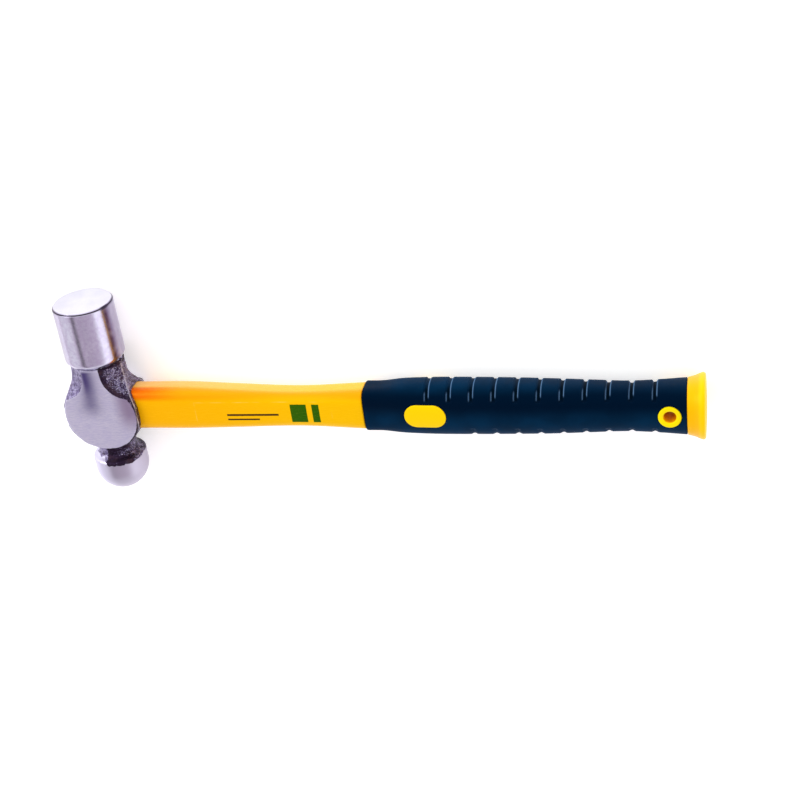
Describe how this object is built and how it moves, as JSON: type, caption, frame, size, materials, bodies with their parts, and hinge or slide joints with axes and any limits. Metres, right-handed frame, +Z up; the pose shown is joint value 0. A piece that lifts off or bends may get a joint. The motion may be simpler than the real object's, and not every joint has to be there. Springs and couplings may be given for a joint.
{
  "type": "ball peen hammer",
  "caption": "Ball peen hammer with a forged steel head, a fibreglass core in a plastic jacket, and a soft ribbed grip with a flared end cap and a hang hole.",
  "frame": {"origin": "middle of the base of the hammer's box, with the hammer lying on its side", "axes": "+X down the handle to the butt, +Y towards the striking face, +Z up, out of the front cheek"},
  "size_m": [0.3458, 0.1164, 0.033],
  "materials": {
    "head_steel": "polished poll and ball, ground cheeks, rough as-forged flanks",
    "core_fibreglass": "pultruded rod, sawn end",
    "bond_epoxy": "cast, smooth",
    "dam_rubber": "matte",
    "jacket_yellow": "moulded, glossy, with a printed mark",
    "grip_navy": "soft touch, satin",
    "trim_yellow": "moulded, satin"
  },
  "bodies": {
    "root": {"hammer_head": "head_steel", "core_rod": "core_fibreglass", "eye_epoxy": "bond_epoxy", "eye_dam": "dam_rubber", "shaft_jacket": "jacket_yellow", "grip_sleeve": "grip_navy", "end_cap": "trim_yellow", "hang_hole_eyelet": "trim_yellow", "inlay_front": "trim_yellow", "inlay_back": "trim_yellow"}
  },
  "joints": []
}
